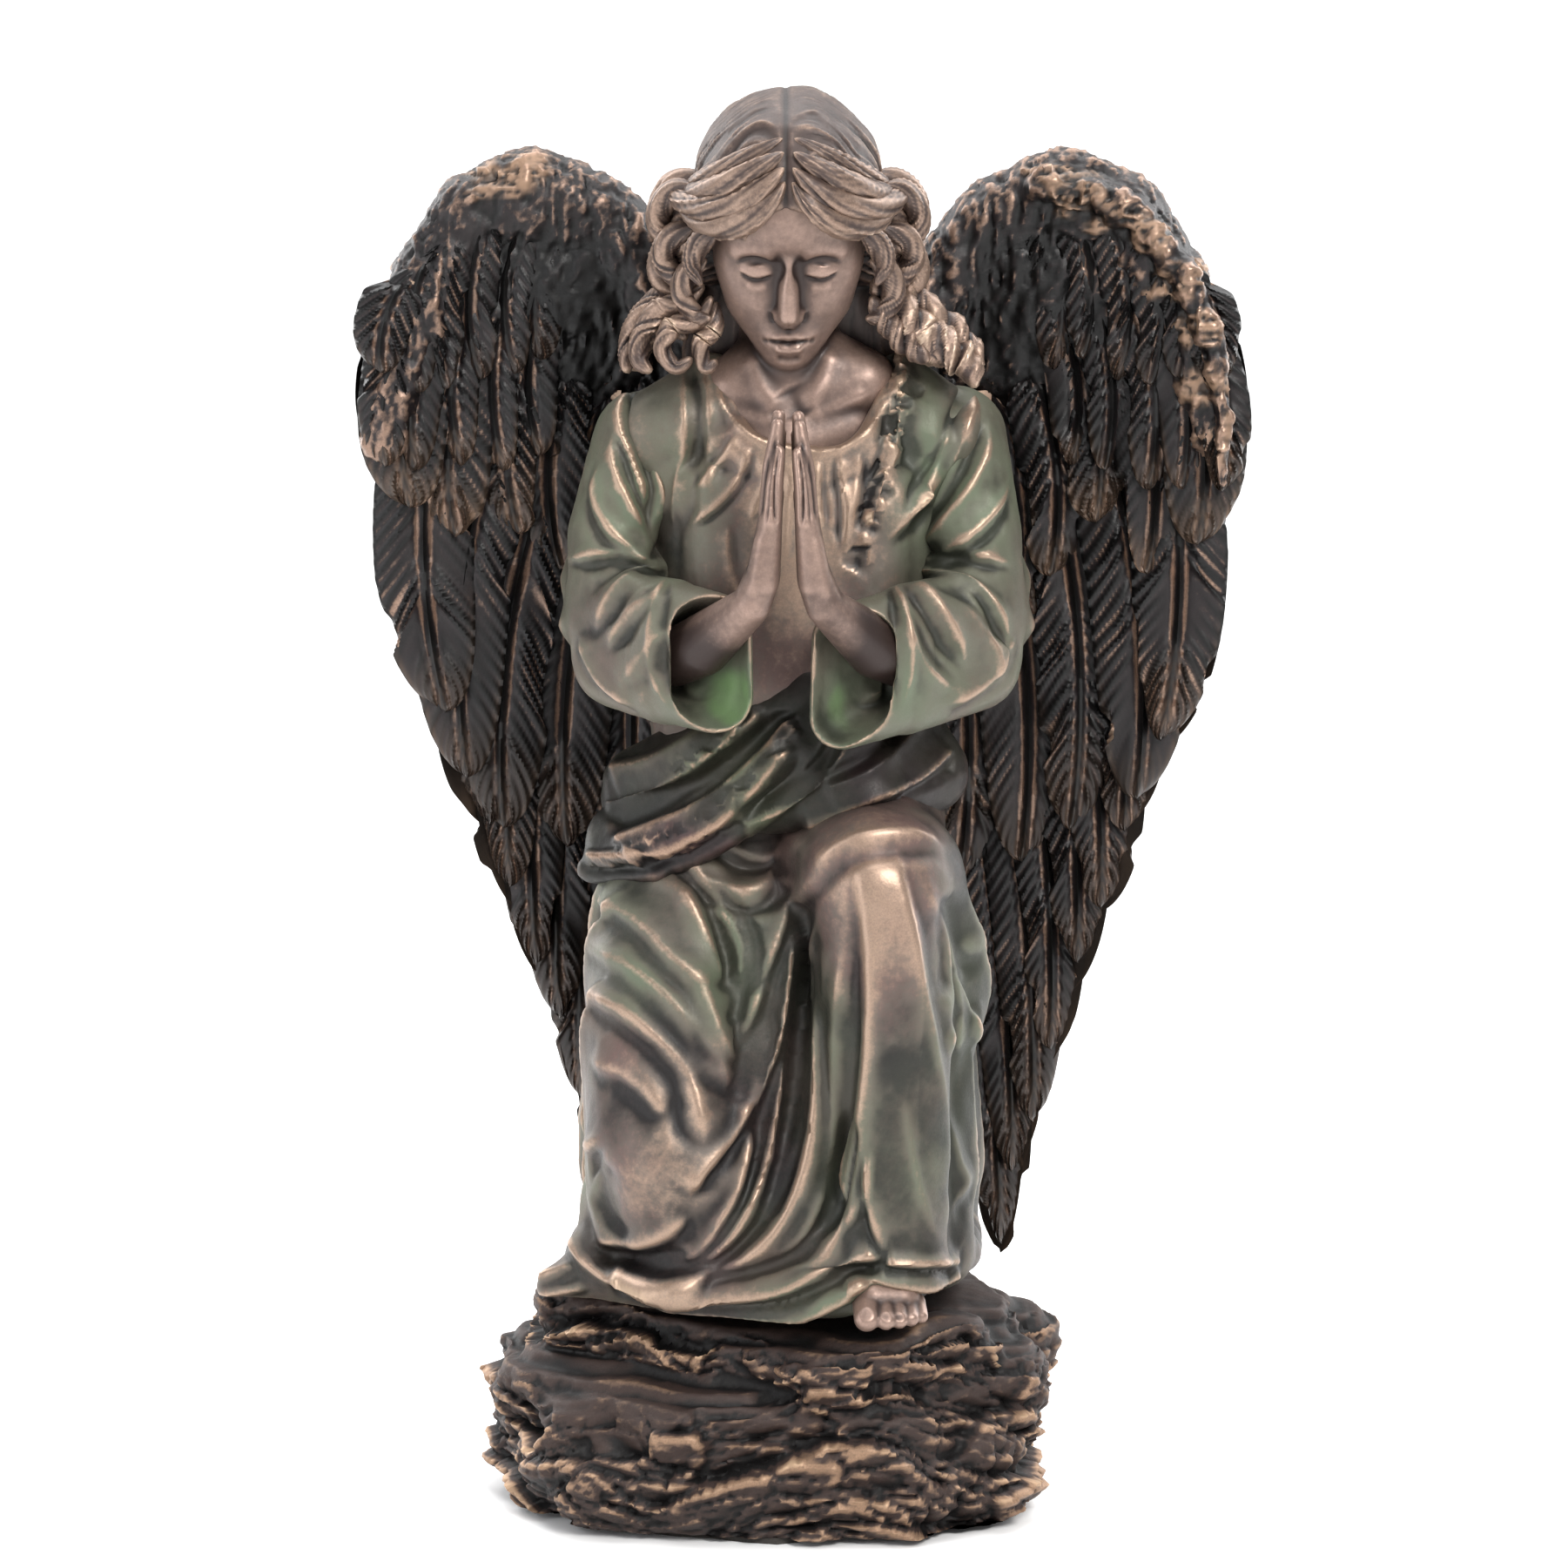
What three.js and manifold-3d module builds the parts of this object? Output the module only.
// A kneeling, praying angel on a rock: a cold-cast resin statuette, built up from its separate castings.
// Millimetres, +Z up, the figure faces -Y. The origin is on the underside of the felt, below the hands.
// "Right" and "left" are the angel's own, so the right side is at -X.
import * as THREE from "three";
import { ConvexGeometry } from "three/addons/geometries/ConvexGeometry.js";
import { mergeVertices } from "three/addons/utils/BufferGeometryUtils.js";
import Module from "manifold-3d";

const wasm = await Module();
wasm.setup();

// Driving dimensions.
const GAP = 0.3; // glue line between castings
const FELT_THICK = 1.2;
const SEAT_Z = 39; // flat the figure is glued to, on top of the rock
const WING_PLANE_X = 2; // the wings mirror about this plane
const PIN_R = 1.6; // steel dowels
const PIN_SIDES = 12;
const ROCK = { x: -2, halfWidth: 49, halfDepth: 41, bulge: 4.4, sides: 36 };

// ---------------------------------------------------------------- finishes
const finish = (color, roughness, metalness) =>
  new THREE.MeshStandardMaterial({ color, roughness, metalness });
const FINISH = {
  robe: finish(0x6f7262, 0.48, 0.45),
  mantle: finish(0x5d4f48, 0.5, 0.45),
  skin: finish(0x8d7769, 0.38, 0.6),
  hair: finish(0x8a7464, 0.42, 0.55),
  wing: finish(0x3d3332, 0.45, 0.5),
  rock: finish(0x3f3330, 0.6, 0.35),
  steel: finish(0x9a9a98, 0.35, 1.0),
  plug: finish(0xd8d2c4, 0.8, 0),
  felt: finish(0x2c2a27, 1.0, 0),
};

// ---------------------------------------------------------------- solids
// A closed geometry as a manifold solid.
function solid(geometry, matrix) {
  const bare = geometry.clone();
  bare.deleteAttribute("normal");
  bare.deleteAttribute("uv");
  if (matrix) bare.applyMatrix4(matrix);
  const merged = mergeVertices(bare, 1e-4);
  return new wasm.Manifold(
    new wasm.Mesh({
      numProp: 3,
      vertProperties: merged.attributes.position.array,
      triVerts: new Uint32Array(merged.index.array),
    }),
  );
}

const join = (solids) => solids.reduce((whole, next) => whole.add(next));
const cut = (body, tools) => tools.reduce((rest, tool) => rest.subtract(tool), body);

// The biggest of the bodies that a cut leaves; the rest are slivers.
function main(body) {
  return body.decompose().sort((a, b) => b.volume() - a.volume())[0];
}

function mesh(name, body, material) {
  const found = main(body).getMesh();
  const geometry = new THREE.BufferGeometry();
  geometry.setAttribute("position", new THREE.BufferAttribute(found.vertProperties, 3));
  geometry.setIndex(new THREE.BufferAttribute(found.triVerts, 1));
  geometry.computeVertexNormals();
  const made = new THREE.Mesh(geometry, material);
  made.name = name;
  return made;
}

// The points of a ball [x, y, z, radius], for a hull. A small ball is an octahedron.
function ballPoints([x, y, z, radius], grow, detail) {
  const ball = (
    detail === 0
      ? new THREE.OctahedronGeometry(radius + grow)
      : new THREE.IcosahedronGeometry(radius + grow, detail)
  ).attributes.position;
  return Array.from({ length: ball.count }, (_, i) =>
    new THREE.Vector3().fromBufferAttribute(ball, i).add(new THREE.Vector3(x, y, z)),
  );
}

// Cloth and limbs are hulls stretched over balls, as cloth is over knees and shoulders.
function hull(balls, grow = 0, detail = 1) {
  return solid(new ConvexGeometry(balls.flatMap((ball) => ballPoints(ball, grow, detail))));
}

const form = (hulls, grow = 0, detail = 1) => join(hulls.map((balls) => hull(balls, grow, detail)));

function box(low, high) {
  const size = high.map((h, i) => h - low[i]);
  const centre = high.map((h, i) => (h + low[i]) / 2);
  return solid(
    new THREE.BoxGeometry(...size),
    new THREE.Matrix4().makeTranslation(...centre),
  );
}

// A dowel from one point along a unit axis.
function dowel(start, axis, length, radius = PIN_R) {
  const along = new THREE.Vector3(...axis);
  const turn = new THREE.Quaternion().setFromUnitVectors(new THREE.Vector3(0, 1, 0), along);
  const middle = new THREE.Vector3(...start).addScaledVector(along, length / 2);
  return solid(
    new THREE.CylinderGeometry(radius, radius, length, PIN_SIDES),
    new THREE.Matrix4().compose(middle, turn, new THREE.Vector3(1, 1, 1)),
  );
}

// ---------------------------------------------------------------- the figure's forms
// Each form is some convex hulls, and each hull is stretched over balls [x, y, z, radius].
const FORMS = {
  head: [
    [[0, -9, 232, 14.5], [0, -14, 224, 12.5], [0, -20, 211, 5.5]],
    [[0, -6, 222, 9], [0, -2, 204, 8.5]],
    [[-12, 0, 199, 7], [12, 0, 199, 7], [0, -5, 196, 9], [0, 4, 202, 8]],
  ],
  left_foot: [
    [[18, -28, 44.5, 4.8], [14, -38.5, 42, 2.6], [22, -37.5, 41.8, 2.4]],
  ],
  right_hand: [
    [[-19, -21, 157, 5.6], [-5.4, -36, 167, 4.3]],
    [[-5.4, -36, 167, 4.3], [-4.3, -36, 178, 4], [-3.4, -41, 180, 3], [-3.4, -31, 180, 3]],
    [[-3.8, -40, 180, 3], [-3.8, -31, 180, 3], [-1.9, -37.5, 199, 1.6]],
  ],
  left_hand: [
    [[20, -21, 156, 5.6], [5.4, -36, 167, 4.3]],
    [[5.4, -36, 167, 4.3], [4.3, -36, 178, 4], [3.4, -41, 180, 3], [3.4, -31, 180, 3]],
    [[3.8, -40, 180, 3], [3.8, -31, 180, 3], [1.9, -37.5, 199, 1.6]],
  ],
  robe_skirt: [
    // hips, then the raised left thigh and knee, then its shin and the cloth beside it
    [[-15, 5, 122, 17], [13, 5, 122, 16.5], [-15, 6, 104, 19], [13, 5, 106, 17]],
    [[12, 4, 118, 17], [15.5, -23, 116, 14.5]],
    [[15.5, -23, 115, 14.2], [17, -24, 80, 11.5], [12, -28, 47, 7], [27, -17, 47, 7]],
    [[18, -16, 116, 14], [26.5, -6, 96, 9], [24, -8, 64, 8.5]],
    // the kneeling right thigh, knee and shin
    [[-16, 4, 116, 17], [-20.5, -15, 86, 16], [-22, -17, 58, 14.5]],
    [[-22, -14, 57, 15], [-24, 14, 54, 14]],
    // cloth slung between the legs and spread to the hem, and its tail on the rock
    [[0, 0, 106, 16], [-20, -22, 52, 10], [14, -27, 50, 8], [24, 12, 48, 8], [-24, 14, 50, 9]],
    [[-34, -8, 44, 7], [-28, 12, 46, 8], [-20, -28, 44, 7], [8, -31, 43, 6.5], [28, -20, 44, 6]],
    [[-34, -8, 44, 6], [-43, -12, 41.5, 3.5]],
  ],
  robe_torso: [
    [[-10, 6, 140, 14], [12, 6, 140, 14], [-12, 4, 178, 15], [14, 4, 178, 15]],
    [[-12, 4, 178, 15], [14, 4, 178, 15], [-24, 3, 194, 8.5], [27, 3, 195, 8.5], [0, 2, 198, 10]],
  ],
  right_sleeve: [
    [[-27, 3, 193, 9.5], [-30, 0, 176, 9.5], [-30, -4, 160, 9.8]],
    [[-30, -4, 162, 9.8], [-28, -8, 156, 9.5], [-17, -25, 160, 9.5], [-14, -28, 152, 5.2]],
  ],
  left_sleeve: [
    [[30, 3, 194, 9.5], [32, 0, 176, 9.6], [33, -4, 160, 9.8]],
    [[33, -4, 162, 9.8], [32, -8, 156, 9.5], [18, -25, 159, 9.5], [12, -28, 149, 5.2]],
  ],
  waist_mantle: [
    // the rolled edge slung from the right hip to the middle, then the wrap round the waist
    [[-31, 0, 121, 7.5], [-20, -13, 123, 6.5], [2, -15, 138, 6], [10, -13, 150, 5]],
    [[-27, 4, 132, 7.5], [-14, -9, 138, 7], [4, -10, 150, 7]],
    [[-27, 8, 128, 7.5], [-4, 17, 130, 6.5], [24, 8, 134, 7.5]],
    [[25, 4, 134, 8], [12, -10, 136, 8], [18, 2, 146, 7]],
    [[-4, -13, 132, 8], [14, -12, 133, 8]],
  ],
  hair: [
    [[-2, -6, 238, 15.5], [1, -6, 238, 15.5], [0, 2, 230, 16]],
    [[-15, -4, 228, 8], [-17, 0, 218, 8]],
    [[16, -4, 228, 8], [17, 0, 218, 8]],
    [[-18, 2, 220, 7], [-24, 3, 208, 6.5]],
    [[18, 2, 220, 7], [27, 3, 208, 6.5]],
    [[-14, 8, 222, 8], [14, 8, 222, 8], [-18, 9, 206, 6], [20, 9, 206, 6]],
  ],
};

// ---------------------------------------------------------------- wings
// How far back the wing's sheet lies, cupped forward at its outer edge. side is -1 or 1.
function wingY(x) {
  const out = Math.max(0, Math.abs(x - WING_PLANE_X) - 24) / 56;
  return 29 - 13 * out ** 1.6;
}

// One row of feathers hangs from a line of roots to a line of tips, [x, z] at the inner and outer end.
const FEATHER_ROWS = [
  // the long primaries, whose tips step up the outer edge
  { count: 6, root: [[30, 150], [62, 168]], tip: [[41, 36], [60, 118]], width: 12, back: 2.5 },
  // secondaries over them
  { count: 6, root: [[30, 196], [70, 196]], tip: [[36, 118], [69, 133]], width: 13, back: 0.5 },
  // coverts
  { count: 6, root: [[36, 222], [69, 214]], tip: [[38, 160], [74, 176]], width: 12, back: -1.5 },
];
const mix = (a, b, t) => a.map((v, i) => v + (b[i] - v) * t);

function feather([rootX, rootZ], [tipX, tipZ], width, back) {
  const spine = new THREE.Vector2(tipX - rootX, tipZ - rootZ);
  const across = new THREE.Vector2(-spine.y, spine.x).normalize().multiplyScalar(width / 2 - 1.5);
  const at = (t, side) => {
    const x = rootX + spine.x * t + across.x * side;
    const z = rootZ + spine.y * t + across.y * side;
    return [x, wingY(x + WING_PLANE_X) + back, z, 1.9];
  };
  return [at(0.03, 0), at(0.35, 1), at(0.35, -1), at(0.78, 0.95), at(0.78, -0.95), at(0.985, 0)];
}

const WING_CORE = [
  // the arched leading edge, from the shoulder over the top to the outer edge
  [[10, 25, 202, 5], [24, 28, 216, 6], [35, 29, 231, 7]],
  [[35, 29, 231, 7], [47, 28, 237, 7], [58, 26, 232, 6.5]],
  [[58, 26, 232, 6.5], [67, 23, 221, 6], [73, 20, 207, 5]],
  [[73, 20, 207, 5], [77, 18, 193, 4]],
  // the root that carries the pins, and the palm behind the feathers
  [[9, 25, 202, 5], [9, 25, 164, 5], [26, 29, 206, 4.5], [24, 29, 160, 4.5]],
  [[24, 29, 212, 4.5], [24, 29, 150, 4], [50, 28, 205, 4], [50, 28, 160, 4]],
  [[36, 29, 224, 4.5], [48, 28, 232, 4.5], [60, 25, 226, 4.5], [68, 22, 210, 4]],
  [[36, 29, 224, 4.5], [36, 29, 190, 4], [68, 22, 210, 4], [66, 22, 180, 4]],
  [[26, 30, 160, 3.5], [56, 27, 170, 3.5], [36, 30, 80, 3], [50, 29, 100, 3]],
];

function wingHulls() {
  const feathers = FEATHER_ROWS.flatMap((row) =>
    Array.from({ length: row.count }, (_, i) => {
      const t = i / (row.count - 1);
      return feather(mix(...row.root, t), mix(...row.tip, t), row.width, row.back);
    }),
  );
  return [
    ...WING_CORE.map((balls) => hull(balls)),
    ...feathers.map((balls) => hull(balls, 0, 0)),
  ];
}

// The left wing stands at +X; the right one is its mirror image.
function wing(side) {
  const left = join(wingHulls()).getMesh();
  const points = new Float32Array(left.vertProperties);
  for (let i = 0; i < points.length; i += 3) points[i] = WING_PLANE_X + side * points[i];
  const faces = new Uint32Array(left.triVerts);
  if (side < 0)
    for (let i = 0; i < faces.length; i += 3)
      [faces[i + 1], faces[i + 2]] = [faces[i + 2], faces[i + 1]];
  return new wasm.Manifold(
    new wasm.Mesh({ numProp: 3, vertProperties: points, triVerts: faces }),
  );
}

// ---------------------------------------------------------------- rock and felt
// The rock's plan: an oval with lobes that turn a little with height.
function rockReach(angle, z) {
  const { halfWidth, halfDepth } = ROCK;
  const oval = 1 / Math.hypot(Math.cos(angle) / halfWidth, Math.sin(angle) / halfDepth);
  const lobes = 1.3 * Math.sin(3 * angle + 0.7) + 0.9 * Math.sin(7 * angle + z * 0.08);
  return oval + lobes + 0.8 * Math.sin(11 * angle - z * 0.12);
}

function rockSolid() {
  // a lathed drum with a belly, whose sides are then pushed out to the oval plan
  const foot = FELT_THICK;
  const profile = [
    [0, foot], [0.5, foot], [0.955, foot], [0.975, 8], [1.0, 14], [0.985, 20],
    [1.0, 26], [0.985, 31], [0.94, 35.5], [0.84, SEAT_Z - 0.8], [0.72, SEAT_Z], [0, SEAT_Z],
  ].map(([r, z]) => new THREE.Vector2(r, z));
  const drum = new THREE.LatheGeometry(profile, ROCK.sides);
  drum.rotateX(Math.PI / 2); // the lathe's Y axis becomes Z
  const place = drum.attributes.position;
  for (let i = 0; i < place.count; i++) {
    const [x, y, z] = [place.getX(i), place.getY(i), place.getZ(i)];
    const share = Math.hypot(x, y);
    const angle = Math.atan2(y, x);
    const belly = ROCK.bulge * Math.sin((Math.PI * z) / SEAT_Z);
    const reach = share * (rockReach(angle, z) + belly);
    place.setXY(i, ROCK.x + reach * Math.cos(angle), reach * Math.sin(angle));
  }
  return solid(drum);
}

// ledges of rock that stand up round the figure's seat, behind and at the sides
const ROCK_LEDGES = [
  [[-42, 10, 33, 7.5], [-36, 24, 36, 7], [-24, 30, 36, 6]],
  [[38, 4, 32, 6.5], [40, 14, 31, 6.5]],
  [[-50, -8, 22, 6], [-52, 6, 18, 6]],
  [[48, -6, 22, 6.5], [47, 10, 20, 6]],
];

function feltSheet() {
  const outline = new THREE.Shape();
  const steps = 40;
  for (let i = 0; i < steps; i++) {
    const angle = (i / steps) * 2 * Math.PI;
    const reach = 0.955 * rockReach(angle, FELT_THICK) - 2;
    const [x, y] = [ROCK.x + reach * Math.cos(angle), reach * Math.sin(angle)];
    if (i === 0) outline.moveTo(x, y);
    else outline.lineTo(x, y);
  }
  outline.closePath();
  return new THREE.ExtrudeGeometry(outline, { depth: FELT_THICK, bevelEnabled: false, steps: 1 });
}

// ---------------------------------------------------------------- pins and plug
const PINS = {
  figure_pin_right: { start: [-20, -6, 24], axis: [0, 0, 1], length: 32 },
  figure_pin_left: { start: [14, -6, 24], axis: [0, 0, 1], length: 32 },
  neck_pin: { start: [0, 0, 186], axis: [0, 0, 1], length: 26 },
  right_wing_pin_upper: { start: [-8, 10, 194], axis: [0, 1, 0], length: 18.5 },
  right_wing_pin_lower: { start: [-8, 10, 172], axis: [0, 1, 0], length: 18.5 },
  left_wing_pin_upper: { start: [12, 10, 194], axis: [0, 1, 0], length: 18.5 },
  left_wing_pin_lower: { start: [12, 10, 172], axis: [0, 1, 0], length: 18.5 },
};
const PLUG = { r: 9, depth: 4, cavityR: 11.5, cavityTop: 20, sides: 24 };

const pinSolids = Object.entries(PINS).map(([name, pin]) => ({
  name,
  body: dowel(pin.start, pin.axis, pin.length),
  hole: dowel(
    pin.start.map((v, i) => v - pin.axis[i] * GAP),
    pin.axis,
    pin.length + 2 * GAP,
    PIN_R + GAP,
  ),
}));
const pinHoles = pinSolids.map((pin) => pin.hole);

function disc(radius, low, high, sides) {
  return solid(
    new THREE.CylinderGeometry(radius, radius, high - low, sides)
      .rotateX(Math.PI / 2)
      .translate(ROCK.x, 0, (low + high) / 2),
  );
}

// ---------------------------------------------------------------- assembly
// Each casting keeps its whole form, less the forms of those already placed, grown by the glue line.
const placed = [];
const castings = new THREE.Group();

function place(name, body, room, material) {
  const clear = main(cut(body, [...placed, ...pinHoles]));
  placed.push(room);
  castings.add(mesh(name, clear, material));
}

const cast = (name, material, trim = (body) => body) =>
  place(name, trim(form(FORMS[name])), form(FORMS[name], GAP), FINISH[material]);

const aboveSeat = (body) => body.subtract(box([-80, -80, 0], [80, 80, SEAT_Z + GAP]));
const side = (sign) => (body) =>
  body.subtract(
    sign < 0 ? box([-GAP / 2, -60, 140], [20, 0, 210]) : box([-20, -60, 140], [GAP / 2, 0, 210]),
  );

cast("right_hand", "skin", side(-1));
cast("left_hand", "skin", side(1));
cast("head", "skin");
cast("left_foot", "skin", aboveSeat);
cast("robe_skirt", "robe", aboveSeat);
cast("robe_torso", "robe");
cast("right_sleeve", "robe");
cast("left_sleeve", "robe");
cast("waist_mantle", "mantle");
cast("hair", "hair", (body) => body.subtract(hull([[0, -26, 222, 11], [0, -24, 208, 9]])));
place("right_wing", wing(-1), wing(-1), FINISH.wing);
place("left_wing", wing(1), wing(1), FINISH.wing);

const ledges = cut(form(ROCK_LEDGES), [box([-80, -80, -9], [80, 80, FELT_THICK])]);
const hollow = [
  disc(PLUG.r + GAP, 0, FELT_THICK + PLUG.depth + GAP, PLUG.sides),
  disc(PLUG.cavityR, FELT_THICK + PLUG.depth + GAP, PLUG.cavityTop, PLUG.sides),
];
const wingRoom = form([[[44, 29, 40, 8], [40, 29, 60, 8]], [[-40, 29, 40, 8], [-36, 29, 60, 8]]]);
place("rock_base", cut(rockSolid().add(ledges), [...hollow, wingRoom]), rockSolid(), FINISH.rock);

castings.add(mesh("base_plug", disc(PLUG.r, FELT_THICK, FELT_THICK + PLUG.depth, PLUG.sides), FINISH.plug));
castings.add(mesh("felt_sheet", solid(feltSheet()), FINISH.felt));
for (const pin of pinSolids) castings.add(mesh(pin.name, pin.body, FINISH.steel));

export default castings;
